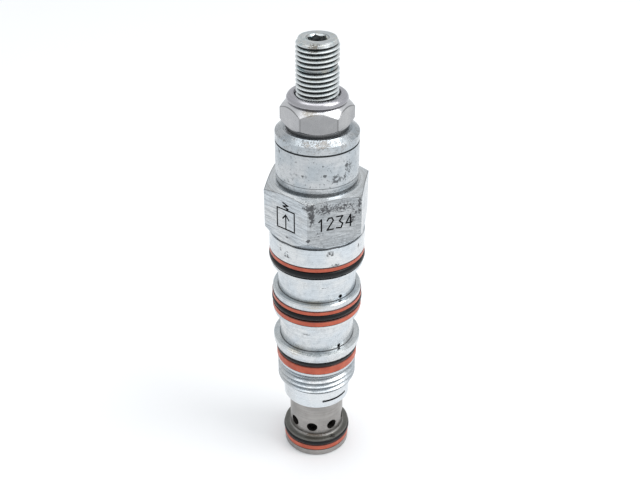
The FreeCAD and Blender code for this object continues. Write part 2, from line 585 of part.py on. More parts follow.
def adjusting_screw():
    """Screw with a hexagon socket, a helical thread and a sealing head at its foot."""
    foot = turned([
        (0, SCREW_TIP_Z),
        ((SCREW_TIP_R / 2, SCREW_TIP_Z + SCREW_TIP_CROWN / 4), (SCREW_TIP_R, SCREW_TIP_Z + SCREW_TIP_CROWN)),
        (SCREW_STEM_R, SCREW_STEM_CHAMFER_Z), (SCREW_STEM_R, SCREW_HEAD_BOTTOM_Z),
        (SCREW_HEAD_R - EDGE, SCREW_HEAD_BOTTOM_Z), (SCREW_HEAD_R, SCREW_HEAD_BOTTOM_Z + EDGE),
        (SCREW_HEAD_R, SCREW_SEAL_Z[0]), (SCREW_SEAL_ROOT_R, SCREW_SEAL_Z[0]),
        (SCREW_SEAL_ROOT_R, SCREW_SEAL_Z[1]), (SCREW_HEAD_R, SCREW_SEAL_Z[1]),
        (SCREW_HEAD_R, SCREW_HEAD_TOP_Z), (SCREW_RELIEF_R, SCREW_HEAD_TOP_Z),
        (SCREW_RELIEF_R, SCREW_THREAD_BOTTOM_Z + EDGE), (0, SCREW_THREAD_BOTTOM_Z + EDGE),
    ])
    chamfer_slope = (SCREW_TOP_Z - SCREW_FIRST_CREST_Z) / (SCREW_CREST_R - SCREW_RIM_R)
    thread_outline = turned([
        (0, SCREW_THREAD_BOTTOM_Z), (SCREW_RELIEF_R, SCREW_THREAD_BOTTOM_Z),
        (SCREW_CREST_R + EDGE, SCREW_THREAD_BOTTOM_Z + 1),
        (SCREW_CREST_R + EDGE, SCREW_WORN_TURN_Z[0] - SCREW_WORN_RUNOUT),
        (SCREW_WORN_TURN_R, SCREW_WORN_TURN_Z[0]), (SCREW_WORN_TURN_R, SCREW_WORN_TURN_Z[1]),
        (SCREW_CREST_R + EDGE, SCREW_WORN_TURN_Z[1] + SCREW_WORN_RUNOUT),
        (SCREW_CREST_R + EDGE, SCREW_FIRST_CREST_Z - EDGE * chamfer_slope),
        (SCREW_RIM_R, SCREW_TOP_Z), (0, SCREW_TOP_Z),
    ])
    rod = threaded_rod(
        SCREW_CREST_R, SCREW_ROOT_R, SCREW_PITCH, SCREW_GROOVE_Z, SCREW_THREAD_BOTTOM_Z, SCREW_TOP_Z)
    socket = hexagon(SOCKET_AF, SOCKET_CORNER_ANGLE, SCREW_TOP_Z - SOCKET_DEPTH, SCREW_TOP_Z + 1)
    mouth_bottom_z = SCREW_TOP_Z - SOCKET_MOUTH_DEPTH
    mouth = turned([
        (0, mouth_bottom_z), (SOCKET_MOUTH_R - SOCKET_MOUTH_DEPTH, mouth_bottom_z),
        (SOCKET_MOUTH_R, SCREW_TOP_Z), (SOCKET_MOUTH_R, SCREW_TOP_Z + 1), (0, SCREW_TOP_Z + 1),
    ])
    return rod.common(thread_outline).fuse(foot).cut(socket).cut(mouth)


def nose_sleeve():
    """Sleeve with the cross holes, the check bore and the nose flange."""
    fillet_step = SLEEVE_FILLET_R * ARC_MIDDLE_SHARE
    fillet_middle = (SLEEVE_R + fillet_step, NOSE_FLANGE_TOP_Z + fillet_step)
    sleeve = turned([
        (CHECK_BORE_R + NOSE_CHAMFER, 0), (NOSE_FLANGE_R - NOSE_CHAMFER, 0), (NOSE_FLANGE_R, NOSE_CHAMFER),
        (NOSE_FLANGE_R, NOSE_GROOVE_Z[0]), (NOSE_GROOVE_R, NOSE_GROOVE_Z[0]),
        (NOSE_GROOVE_R, NOSE_GROOVE_Z[1]), (NOSE_FLANGE_R, NOSE_GROOVE_Z[1]),
        (NOSE_FLANGE_R, NOSE_FLANGE_TOP_Z - EDGE), (NOSE_FLANGE_R - EDGE, NOSE_FLANGE_TOP_Z),
        (SLEEVE_R + SLEEVE_FILLET_R, NOSE_FLANGE_TOP_Z),
        (fillet_middle, (SLEEVE_R, NOSE_FLANGE_TOP_Z + SLEEVE_FILLET_R)),
        (SLEEVE_R, WIRE_Z - WIRE_GROOVE_HALF), (WIRE_RING_R - WIRE_GROOVE_HALF, WIRE_Z - WIRE_GROOVE_HALF),
        (WIRE_RING_R - WIRE_GROOVE_HALF, WIRE_Z + WIRE_GROOVE_HALF), (SLEEVE_R, WIRE_Z + WIRE_GROOVE_HALF),
        (SLEEVE_R, SLEEVE_TOP_Z - EDGE), (SLEEVE_R - EDGE, SLEEVE_TOP_Z),
        (SLEEVE_STEM_BORE_R, SLEEVE_TOP_Z), (SLEEVE_STEM_BORE_R, FLOW_CHAMBER_Z[1]),
        (FLOW_CHAMBER_R, FLOW_CHAMBER_Z[1]), (FLOW_CHAMBER_R, FLOW_CHAMBER_Z[0]),
        (SEAT_NOSE_BORE_R, FLOW_CHAMBER_Z[0]), (SEAT_NOSE_BORE_R, CHECK_STOP_Z),
        (CHECK_BORE_R, CHECK_STOP_Z), (CHECK_BORE_R, SNAP_RING_Z[1] + RING_GAP),
        (SNAP_GROOVE_R, SNAP_RING_Z[1] + RING_GAP), (SNAP_GROOVE_R, SNAP_RING_Z[0] - RING_GAP),
        (CHECK_BORE_R, SNAP_RING_Z[0] - RING_GAP), (CHECK_BORE_R, NOSE_CHAMFER),
    ])
    for k in range(CROSS_HOLE_COUNT):
        angle = CROSS_HOLE_ANGLE + 360 / CROSS_HOLE_COUNT * k
        sleeve = sleeve.cut(radial_hole(CROSS_HOLE_R, CROSS_HOLE_Z, angle, FLOW_CHAMBER_R - 1, SLEEVE_R + 1))
    return sleeve


def retaining_wire():
    """Round wire ring, open along the slot, with one end hooked outward into the slot's hole."""
    start_angle = SLOT_ANGLES[0] - WIRE_SWEEP_DEG
    start = outward(start_angle) * WIRE_RING_R + AXIS * WIRE_Z
    circle = Part.makeCircle(WIRE_RADIUS, start, outward(start_angle + 90))
    ring = Part.Face(Part.Wire(circle)).revolve(ORIGIN, AXIS, WIRE_SWEEP_DEG)
    hook_out = outward(SLOT_ANGLES[0])
    hook = Part.makeCylinder(
        WIRE_HOOK_R, WIRE_HOOK_END_R - WIRE_RING_R, hook_out * WIRE_RING_R + AXIS * WIRE_Z, hook_out)
    return ring.fuse(hook)


def check_seat():
    """Sliding seat: guide flange, spring skirt and the edge that the poppet closes."""
    return turned([
        (CHECK_SEAT_BORE_R + CHECK_SEAT_BORE_CHAMFER, CHECK_SKIRT_BOTTOM_Z),
        (CHECK_SKIRT_R, CHECK_SKIRT_BOTTOM_Z),
        (CHECK_SKIRT_R, CHECK_FLANGE_BOTTOM_Z), (CHECK_SEAT_R, CHECK_FLANGE_BOTTOM_Z),
        (CHECK_SEAT_R, CHECK_STOP_Z - STOP_GAP), (CHECK_SEAT_TOP_R, CHECK_STOP_Z - STOP_GAP),
        (CHECK_SEAT_TOP_R, CHECK_SEAT_TOP_Z - EDGE), (CHECK_SEAT_TOP_R - EDGE, CHECK_SEAT_TOP_Z),
        (CHECK_SEAT_BORE_R, CHECK_SEAT_TOP_Z),
        (CHECK_SEAT_BORE_R, CHECK_SKIRT_BOTTOM_Z + CHECK_SEAT_BORE_CHAMFER),
    ])


def check_retainer_ring():
    """Open snap ring in the nose's inner groove."""
    ring = flat_ring(SNAP_RING_R[0], SNAP_RING_R[1], SNAP_RING_Z[0], SNAP_RING_Z[1], INNER_RING_BEVEL)
    gap = Part.makeBox(SNAP_GAP_WIDTH, SNAP_RING_R[1] + 1, SNAP_RING_Z[1] + 1)
    gap.translate(FreeCAD.Vector(-SNAP_GAP_WIDTH / 2, 0, 0))
    return ring.cut(gap)


def relief_poppet():
    """Cone, neck and stem, with the seal groove and the piston's spigot."""
    return turned([
        (0, POPPET_TIP_Z), (POPPET_TIP_R, POPPET_TIP_Z), (POPPET_HEAD_R, POPPET_HEAD_Z),
        (POPPET_HEAD_R, POPPET_HEAD_TOP_Z), (POPPET_NECK_R, POPPET_NECK_BOTTOM_Z),
        (POPPET_NECK_R, POPPET_NECK_TOP_Z), (STEM_R, STEM_BOTTOM_Z),
        (STEM_R, STEM_SEAL_Z[0]), (STEM_SEAL_ROOT_R, STEM_SEAL_Z[0]),
        (STEM_SEAL_ROOT_R, STEM_SEAL_Z[1]), (STEM_R, STEM_SEAL_Z[1]),
        (STEM_R, STEM_TOP_Z), (SPIGOT_R, STEM_TOP_Z), (SPIGOT_R, SPIGOT_TOP_Z), (0, SPIGOT_TOP_Z),
    ])


def pilot_piston():
    """Piston on the stem's spigot, with a groove for its seal and backup ring."""
    return turned([
        (SPIGOT_R + RING_GAP, PISTON_Z[0]), (PISTON_R - EDGE, PISTON_Z[0]), (PISTON_R, PISTON_Z[0] + EDGE),
        (PISTON_R, PISTON_SEAL_Z[0]), (PISTON_SEAL_ROOT_R, PISTON_SEAL_Z[0]),
        (PISTON_SEAL_ROOT_R, PISTON_SEAL_Z[1]), (PISTON_R, PISTON_SEAL_Z[1]),
        (PISTON_R, PISTON_Z[1] - EDGE), (PISTON_R - EDGE, PISTON_Z[1]),
        (SPIGOT_R + RING_GAP, PISTON_Z[1]),
    ])


def lower_spring_seat():
    """Spring plate that stands on the piston."""
    return turned([
        (0, PISTON_Z[1]), (SEAT_HUB_R, PISTON_Z[1]), (SEAT_HUB_R, LOWER_SEAT_FLANGE_Z[0]),
        (SPRING_SEAT_R, LOWER_SEAT_FLANGE_Z[0]), (SPRING_SEAT_R, LOWER_SEAT_FLANGE_Z[1]),
        (SPRING_SPIGOT_R, LOWER_SEAT_FLANGE_Z[1]), (SPRING_SPIGOT_R, LOWER_SEAT_TOP_Z - SPIGOT_CHAMFER),
        (SPRING_SPIGOT_R - SPIGOT_CHAMFER, LOWER_SEAT_TOP_Z), (0, LOWER_SEAT_TOP_Z),
    ])


def upper_spring_seat():
    """Spring plate that the adjusting screw's tip presses on."""
    return turned([
        (0, UPPER_SEAT_BOTTOM_Z), (SPRING_SPIGOT_R - SPIGOT_CHAMFER, UPPER_SEAT_BOTTOM_Z),
        (SPRING_SPIGOT_R, UPPER_SEAT_BOTTOM_Z + SPIGOT_CHAMFER), (SPRING_SPIGOT_R, UPPER_SEAT_FLANGE_Z[0]),
        (SPRING_SEAT_R, UPPER_SEAT_FLANGE_Z[0]), (SPRING_SEAT_R, UPPER_SEAT_FLANGE_Z[1]),
        (UPPER_SEAT_HUB_R, UPPER_SEAT_FLANGE_Z[1]), (UPPER_SEAT_HUB_R, UPPER_SEAT_TOP_Z - HUB_CHAMFER),
        (UPPER_SEAT_HUB_R - HUB_CHAMFER, UPPER_SEAT_TOP_Z), (0, UPPER_SEAT_TOP_Z),
    ])


def main_seals():
    """The O-rings and backup rings on the body's and the nose sleeve's outside."""
    return {
        "upper_backup_ring": flat_ring(
            UPPER_GROOVE_R + RING_GAP, UPPER_BACKUP_R, UPPER_SPLIT_Z, UPPER_GROOVE_Z[1] - RING_GAP),
        "upper_o_ring": o_ring(UPPER_GROOVE_R, UPPER_O_RING_R, (UPPER_GROOVE_Z[0] + UPPER_SPLIT_Z) / 2),
        "middle_upper_backup_ring": flat_ring(
            MIDDLE_GROOVE_R + RING_GAP, MIDDLE_BACKUP_R, MIDDLE_SPLIT_Z[1], MIDDLE_GROOVE_Z[1] - RING_GAP),
        "middle_o_ring": o_ring(MIDDLE_GROOVE_R, MIDDLE_O_RING_R, sum(MIDDLE_SPLIT_Z) / 2),
        "middle_lower_backup_ring": flat_ring(
            MIDDLE_GROOVE_R + RING_GAP, MIDDLE_BACKUP_R, MIDDLE_LOWER_BACKUP_Z, MIDDLE_SPLIT_Z[0]),
        "lower_o_ring": o_ring(LOWER_GROOVE_R, LOWER_O_RING_R, (LOWER_SPLIT_Z + LOWER_GROOVE_Z[1]) / 2),
        "lower_backup_ring": flat_ring(
            LOWER_GROOVE_R + RING_GAP, LOWER_BACKUP_R, LOWER_GROOVE_Z[0] + RING_GAP, LOWER_SPLIT_Z,
            LOWER_BACKUP_BEVEL),
        "nose_o_ring": o_ring(NOSE_GROOVE_R, NOSE_O_RING_R, (NOSE_SPLIT_Z + NOSE_GROOVE_Z[1]) / 2),
        "nose_backup_ring": flat_ring(NOSE_GROOVE_R + RING_GAP, NOSE_BACKUP_R, NOSE_BACKUP_Z, NOSE_SPLIT_Z),
    }


def inner_seals():
    """The rings of the sliding pieces, the adjusting screw and the cap."""
    return {
        "stem_backup_ring": flat_ring(
            STEM_SEAL_ROOT_R + RING_GAP, STEM_R, STEM_SEAL_Z[0] + RING_GAP, STEM_SPLIT_Z, INNER_RING_BEVEL),
        "stem_o_ring": o_ring(STEM_SEAL_ROOT_R, STEM_R, (STEM_SPLIT_Z + STEM_SEAL_Z[1]) / 2),
        "piston_backup_ring": flat_ring(
            PISTON_SEAL_ROOT_R + RING_GAP, PISTON_R, PISTON_SPLIT_Z, PISTON_SEAL_Z[1] - RING_GAP,
            INNER_RING_BEVEL),
        "piston_o_ring": o_ring(PISTON_SEAL_ROOT_R, PISTON_R, (PISTON_SEAL_Z[0] + PISTON_SPLIT_Z) / 2),
        "screw_o_ring": o_ring(SCREW_SEAL_ROOT_R, SCREW_HEAD_R, sum(SCREW_SEAL_Z) / 2),
        "adapter_o_ring": o_ring(CAP_SEAL_ROOT_R, CAP_PILOT_R, (CAP_SHANK_TOP_Z + CAP_SEAL_TOP_Z) / 2),
    }


def all_parts():
    """Every node's name with its solid."""
    parts = {
        "valve_body": valve_body(),
        "adapter_cap": adapter_cap(),
        "locknut": locknut(),
        "adjusting_screw": adjusting_screw(),
        "nose_sleeve": nose_sleeve(),
        "retaining_wire": retaining_wire(),
        "check_seat": check_seat(),
        "check_retainer_ring": check_retainer_ring(),
        "check_spring": check_spring(),
        "relief_poppet": relief_poppet(),
        "pilot_piston": pilot_piston(),
        "lower_spring_seat": lower_spring_seat(),
        "upper_spring_seat": upper_spring_seat(),
        "main_spring": main_spring(),
    }
    parts.update(main_seals())
    parts.update(inner_seals())
    return parts


os.makedirs("parts", exist_ok=True)
for name, shape in all_parts().items():
    assert shape.isValid(), name
    shape.exportStep("parts/" + name + ".step")
    print(name, len(shape.Solids), round(shape.Volume, 2))
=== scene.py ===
"""Looks, light and camera for the screw-in cartridge valve. Metres, +Z up, the valve stands on z = 0."""
import json
import math

import bpy
import bmesh
from mathutils import Euler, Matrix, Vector


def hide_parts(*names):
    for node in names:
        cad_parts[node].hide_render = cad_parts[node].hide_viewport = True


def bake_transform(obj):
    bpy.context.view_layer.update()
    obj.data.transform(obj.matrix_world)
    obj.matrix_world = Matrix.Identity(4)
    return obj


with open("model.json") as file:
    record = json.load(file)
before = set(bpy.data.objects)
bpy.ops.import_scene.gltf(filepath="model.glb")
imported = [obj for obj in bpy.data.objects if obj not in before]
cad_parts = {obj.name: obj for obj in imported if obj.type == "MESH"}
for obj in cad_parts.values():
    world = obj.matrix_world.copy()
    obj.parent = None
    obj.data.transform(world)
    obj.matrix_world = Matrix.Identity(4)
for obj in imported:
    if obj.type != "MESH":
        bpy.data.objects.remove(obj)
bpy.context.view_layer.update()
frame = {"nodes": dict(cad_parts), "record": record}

MM = 0.001
NODES = frame["nodes"]

# ---- places on the valve, in millimetres ----------------------------------
HEX_CORNER_ANGLE = -9.0
HEX_HALF_AF = 11.1125
SYMBOL_FLAT = HEX_CORNER_ANGLE - 30.0
DIGITS_FLAT = HEX_CORNER_ANGLE + 30.0
HEX_TOP = 79.3
HEX_BOTTOM = 66.75
HEX_CHAMFER_LOW = 77.2
MARKS_Z = (69.4, 77.9)
MARKS_HALF_WIDTH = 5.2
MARKS_DEPTH = 0.3
NUT_FLAT = 2.6
NUT_HALF_AF = 7.145
NUT_FLATS_Z = (92.8, 97.6)
NUT_CONE_Z = (93.0, 98.2)
NUT_COLLAR_Z = 97.9
# radii over which the nut's bore mouth gets painted shade
NUT_MOUTH_SHADE_R = (4.86, 5.05)
UNDERCUT = (66.43, 66.92)
UNDERCUT_R = 11.1
NECK_FEET = ((9.4, 50.4), (9.1, 35.6))
PORT_HOLES = ((36.3, 9.4, 51.2), (36.8, 9.1, 36.25))
PORT_HOLE_R = 0.52
SLOT_Z = 18.66
SLOT_MIDDLE_ANGLE = 36.85
SLOT_HALF_LENGTH = 3.4
THREAD_Z = (21.8, 27.6)
# radii over which the body's thread roots get painted shade
THREAD_ROOT_SHADE_R = (9.05, 9.70)
# radii over which the screw's thread roots get painted shade
SCREW_ROOT_SHADE_R = (4.16, 4.50)
SCREW_THREAD_TOP = 111.3
SOCKET_EDGE_R = 2.44
SOCKET_Z = (109.4, 112.2)
CAP_GROOVE_Z = 89.1
CAP_LINE_Z = 81.13
CAP_FOOT_Z = 79.62
CAP_TOP_Z = 92.1
NOSE_FLANGE_Z = (4.3, 5.9)
NOSE_FILLET_Z = (5.3, 6.3)
SLEEVE_HOLES_Z = (6.4, 15.9)
SLEEVE_SKIN_R = 6.86
# how much a ragged mark thins out towards its edge
FRINGE = 0.30
# width of the painted shade line where a chamfer meets a flat, along the flat's normal
EDGE_LINE = 0.20
# heights of the painted shade lines along the orange rings' edges, where they meet the metal
RING_SHADE_LINES_Z = (61.48, 60.3, 48.88, 47.72, 45.93, 44.45, 31.3, 28.92, 3.5, 1.92)

# ---- ragged marks, in millimetres and degrees --------------------------------
# texture, threshold, angle, radius, height, reach, and how far the mark is drawn out across and along
CORNER_STAINS = (
    ("coarse", 0.40, -8.0, 12.6, 78.0, 2.6, (1.3, 0.7)),
    ("coarse", 0.42, -5.5, 12.5, 76.0, 3.6, (0.5, 1.4)),
    ("grain", 0.49, -6.5, 12.5, 73.6, 2.2, (0.3, 1.3)),
    ("coarse", 0.45, 48.0, 12.8, 76.4, 4.4, (0.5, 1.2)),
    ("coarse", 0.40, -9.0, 12.7, 69.6, 1.0),
    ("grain", 0.47, -38.0, 11.4, 68.4, 1.5, (1.4, 0.5)),
)
FLAT_STAINS = (
    ("grain", 0.455, 10.0, 11.4, 77.0, 6.5, (1.2, 0.45)),
    ("grain", 0.47, 30.0, 11.4, 77.0, 6.0, (1.2, 0.5)),
    ("grain", 0.50, 42.0, 11.8, 74.0, 4.5, (0.6, 1.3)),
    ("grain", 0.53, 2.0, 11.4, 71.0, 3.5, (1.0, 0.6)),
)
BODY_CHIPS = (
    ("coarse", 0.46, -38.0, 11.3, 63.6, 2.4, (0.7, 1.0)),
    ("grain", 0.48, -47.0, 11.3, 64.9, 2.2, (0.7, 0.9)),
    ("coarse", 0.45, 15.0, 11.3, 65.2, 2.0, (1.2, 0.7)),
    ("grain", 0.47, 22.0, 11.3, 61.9, 2.4, (1.5, 0.5)),
    ("coarse", 0.42, 58.0, 11.3, 64.6, 1.3, (0.4, 1.4)),
    ("grain", 0.42, 12.0, 9.4, 54.6, 1.1, (1.5, 0.3)),
    ("grain", 0.49, -42.0, 9.6, 57.0, 1.6, (1.5, 0.8)),
    ("coarse", 0.42, 33.0, 9.9, 50.3, 0.8),
    ("grain", 0.46, -16.0, 9.1, 40.6, 1.5, (1.5, 0.3)),
)
CAP_SCUFFS = (
    ("grain", 0.50, 48.0, 9.5, 85.2, 4.6, (0.8, 1.2)),
    ("grain", 0.50, 40.0, 9.5, 83.0, 3.0, (0.8, 1.0)),
    ("coarse", 0.40, 43.0, 9.5, 86.0, 1.2),
    ("coarse", 0.38, 10.0, 9.5, 84.3, 0.8),
    ("grain", 0.50, 9.0, 9.5, 86.6, 1.6, (1.5, 0.5)),
    ("coarse", 0.40, -20.0, 9.5, 84.2, 0.7),
    ("coarse", 0.40, -62.0, 9.5, 88.0, 0.9),
)
CAP_PATCHES = (
    ("grain", 0.44, 7.0, 8.9, 91.6, 3.6, (1.4, 0.6)),
    ("grain", 0.46, -13.0, 8.9, 91.5, 2.4, (1.4, 0.6)),
)

# ---- springs, in millimetres ------------------------------------------------
MAIN_SPRING_Z = (51.82, 73.58)
MAIN_SPRING_R = 5.5
MAIN_SPRING_WIRE_R = 0.95
MAIN_SPRING_TURNS = 7
CHECK_SPRING_Z = (1.42, 4.58)
CHECK_SPRING_R = 4.5
CHECK_SPRING_WIRE_R = 0.28
CHECK_SPRING_TURNS = 3
STEPS_PER_TURN = 36
WIRE_SIDES = 14

# ---- camera and floor in metres, and light ----------------------------------
CAMERA_PLACE = (0.0, -0.1879, 0.1805)
CAMERA_DOWN_DEG = 32.20
CAMERA_YAW_DEG = -0.219
CAMERA_ROLL_DEG = 0.291
CAMERA_LENS_MM = 52.57
FLOOR_HALF = 3.0
WORLD_STRENGTH = 0.74


class Graph:
    """A material's node tree with short helpers. Every helper returns an output socket."""

    def __init__(self, name):
        """Starts a material with a place in millimetres, its parts and its distance from the axis."""
        self.material = bpy.data.materials.new(name)
        self.material.use_nodes = True
        self.tree = self.material.node_tree
        self.tree.nodes.clear()
        self.surface = self.tree.nodes.new("ShaderNodeBsdfPrincipled")
        output = self.tree.nodes.new("ShaderNodeOutputMaterial")
        self.tree.links.new(self.surface.outputs[0], output.inputs[0])
        coordinates = self.tree.nodes.new("ShaderNodeTexCoord")
        scaled = self.tree.nodes.new("ShaderNodeVectorMath")
        scaled.operation = "SCALE"
        scaled.inputs["Scale"].default_value = 1 / MM
        self.tree.links.new(coordinates.outputs["Object"], scaled.inputs[0])
        self.place = scaled.outputs[0]
        split = self.tree.nodes.new("ShaderNodeSeparateXYZ")
        self.tree.links.new(self.place, split.inputs[0])
        self.x, self.y, self.z = split.outputs
        self.radius = self.math("SQRT", self.math("ADD", self.math("MULTIPLY", self.x, self.x),
                                                  self.math("MULTIPLY", self.y, self.y)))

    def feed(self, socket, value):
        """Puts a number, a colour or another socket into an input."""
        if isinstance(value, bpy.types.NodeSocket):
            self.tree.links.new(value, socket)
        else:
            socket.default_value = value

    def math(self, operation, a, b=0.0, clamp=False):
        """One sum or function of one or two values."""
        node = self.tree.nodes.new("ShaderNodeMath")
        node.operation = operation
        node.use_clamp = clamp
        self.feed(node.inputs[0], a)
        self.feed(node.inputs[1], b)
        return node.outputs[0]

    def between(self, value, low, high, soft):
        """1 where a value lies between two limits, with soft edges."""
        rise = self.remap(value, low - soft, low + soft, 0, 1)
        fall = self.remap(value, high - soft, high + soft, 1, 0)
        return self.math("MULTIPLY", rise, fall)

    def remap(self, value, from_low, from_high, to_low, to_high):
        """Carries a value from one range to another with soft ends, and holds it beyond them."""
        node = self.tree.nodes.new("ShaderNodeMapRange")
        node.interpolation_type = "SMOOTHSTEP"
        for index, number in enumerate((from_low, from_high, to_low, to_high), start=1):
            node.inputs[index].default_value = number
        self.feed(node.inputs[0], value)
        return node.outputs[0]

    def stretched(self, across, along):
        """Place with its cross and axial parts scaled, for marks that run round the axis."""
        node = self.tree.nodes.new("ShaderNodeVectorMath")
        node.operation = "MULTIPLY"
        node.inputs[1].default_value = (across, across, along)
        self.feed(node.inputs[0], self.place)
        return node.outputs[0]

    def noise(self, scale, detail=3.0, roughness=0.55, vector=None, distortion=0.0):
        """Cloudy noise, from about 0.3 to 0.7."""
        node = self.tree.nodes.new("ShaderNodeTexNoise")
        node.inputs["Scale"].default_value = scale
        node.inputs["Detail"].default_value = detail
        node.inputs["Roughness"].default_value = roughness
        node.inputs["Distortion"].default_value = distortion
        self.feed(node.inputs["Vector"], self.place if vector is None else vector)
        return node.outputs["Fac"]

    def cells(self, scale, vector=None):
        """Distance to the nearest of many scattered points."""
        node = self.tree.nodes.new("ShaderNodeTexVoronoi")
        node.inputs["Scale"].default_value = scale
        self.feed(node.inputs["Vector"], self.place if vector is None else vector)
        return node.outputs["Distance"]

    def mix(self, share, first, second):
        """The first colour where the share is 0, the second where it is 1."""
        node = self.tree.nodes.new("ShaderNodeMix")
        node.data_type = "RGBA"
        self.feed(node.inputs["Factor"], share)
        self.feed(node.inputs["A"], first if isinstance(first, bpy.types.NodeSocket) else (*first, 1))
        self.feed(node.inputs["B"], second if isinstance(second, bpy.types.NodeSocket) else (*second, 1))
        return node.outputs["Result"]

    def bump(self, height, strength, distance_mm, normal=None):
        """A normal tilted by a height, on top of an earlier bump if one is given."""
        node = self.tree.nodes.new("ShaderNodeBump")
        node.inputs["Strength"].default_value = strength
        node.inputs["Distance"].default_value = distance_mm * MM
        self.feed(node.inputs["Height"], height)
        if normal is not None:
            self.feed(node.inputs["Normal"], normal)
        return node.outputs[0]

    def across_flat(self, angle):
        """How far out along a flat's normal, and how far across it, a point lies."""
        s = math.sin(math.radians(angle))
        c = math.cos(math.radians(angle))
        out = self.math("SUBTRACT", self.math("MULTIPLY", self.x, s), self.math("MULTIPLY", self.y, c))
        across = self.math("ADD", self.math("MULTIPLY", self.x, c), self.math("MULTIPLY", self.y, s))
        return out, across

    def on_flats(self, first_angle, half_across):
        """1 on the six flats of a hexagon round the axis, 0 on its chamfers and inside it."""
        flats = []
        for k in range(6):
            out, _ = self.across_flat(first_angle + 60 * k)
            flats.append(self.remap(out, half_across - 0.10, half_across - 0.05, 0, 1))
        return self.most(*flats)

    def chamfer_edge(self, first_angle, half_across):
        """1 along the edge between a hexagon's chamfer and its flats, on the chamfer's side."""
        lines = []
        for k in range(6):
            out, _ = self.across_flat(first_angle + 60 * k)
            lines.append(self.between(out, half_across - EDGE_LINE, half_across - 0.03, 0.03))
        off_flats = self.math("SUBTRACT", 1.0, self.on_flats(first_angle, half_across + 0.04))
        return self.both(self.most(*lines), off_flats)

    def near(self, angle, radius, z, reach, stretch=(1.0, 1.0)):
        """1 at a point of the surface, falling to 0 at a distance, in millimetres.

        stretch divides the cross and the axial distance.
        """
        a = math.radians(angle)
        centre = (radius * math.sin(a), -radius * math.cos(a), z)
        offset = self.tree.nodes.new("ShaderNodeVectorMath")
        offset.operation = "SUBTRACT"
        offset.inputs[1].default_value = centre
        self.feed(offset.inputs[0], self.place)
        scaled = self.tree.nodes.new("ShaderNodeVectorMath")
        scaled.operation = "DIVIDE"
        scaled.inputs[1].default_value = (stretch[0], stretch[0], stretch[1])
        self.feed(scaled.inputs[0], offset.outputs[0])
        length = self.tree.nodes.new("ShaderNodeVectorMath")
        length.operation = "LENGTH"
        self.feed(length.inputs[0], scaled.outputs[0])
        return self.remap(length.outputs["Value"], 0.0, reach, 1.0, 0.0)

    def rings(self, scale, detail=5.0):
        """Fine turned rings: noise over the radius and the height, nearly even round the axis."""
        node = self.tree.nodes.new("ShaderNodeCombineXYZ")
        self.feed(node.inputs[0], self.math("MULTIPLY", self.radius, scale))
        self.feed(node.inputs[1], self.math("MULTIPLY", self.z, scale))
        self.feed(node.inputs[2], self.math("MULTIPLY", self.x, 0.08))
        return self.noise(1.0, detail, 0.7, node.outputs[0])

    def spot(self, angle, radius, z, reach):
        """1 within a distance of a point of the surface, with a hard edge."""
        return self.remap(self.near(angle, radius, z, 2 * reach), 0.45, 0.55, 0, 1)

    def both(self, *masks):
        """Where all the masks are."""
        product = masks[0]
        for mask in masks[1:]:
            product = self.math("MULTIPLY", product, mask)
        return product

    def broken(self, mask, texture, threshold, soft=0.02):
        """A mask broken up by a texture, which shows above the threshold, most where the mask is 1."""
        lowered = self.math("ADD", texture, self.math("MULTIPLY", self.math("SUBTRACT", mask, 1.0), FRINGE))
        return self.remap(lowered, threshold - soft, threshold + soft, 0, 1)

    def ragged(self, places, textures):
        """Ragged marks at a list of places, each with a texture's name, its threshold and where it lies."""
        return self.most(*[self.broken(self.near(*place), textures[name], threshold)
                           for name, threshold, *place in places])

    def most(self, *masks):
        """The strongest of the masks at each point."""
        total = masks[0]
        for mask in masks[1:]:
            total = self.math("MAXIMUM", total, mask)
        return total

    def finish(self, colour, roughness, metallic=1.0, normal=None):
        """Sets the surface from its colour, roughness and normal, and returns the material."""
        self.feed(self.surface.inputs["Base Color"], colour)
        self.feed(self.surface.inputs["Roughness"], roughness)
        self.surface.inputs["Metallic"].default_value = metallic
        if normal is not None:
            self.feed(self.surface.inputs["Normal"], normal)
        return self.material


def zinc_base(graph, cool, warm):
    """Bright zinc between two tones: faint drifts and clouds, turning lines, fine scratches and haze."""
    drift = graph.noise(0.16, 2.0)
    clouds = graph.noise(0.8, 7.0, 0.72)
    turned = graph.rings(5.0)
    scratches = graph.noise(1.0, 6.0, 0.75, graph.stretched(0.35, 7.0))
    colour = graph.mix(graph.remap(drift, 0.35, 0.65, 0, 1), cool, warm)
    colour = graph.mix(graph.remap(clouds, 0.48, 0.62, 0, 0.30), colour, (0.33, 0.36, 0.385))
    colour = graph.mix(graph.remap(turned, 0.42, 0.72, 0, 0.45), colour, (0.36, 0.39, 0.41))
    colour = graph.mix(graph.remap(scratches, 0.56, 0.70, 0, 0.55), colour, (0.28, 0.305, 0.33))
    colour = graph.mix(graph.remap(scratches, 0.40, 0.28, 0, 0.35), colour, (0.83, 0.85, 0.86))
    roughness = graph.remap(graph.noise(0.9, 5.0, 0.65), 0.3, 0.7, 0.20, 0.38)
    return colour, roughness, turned


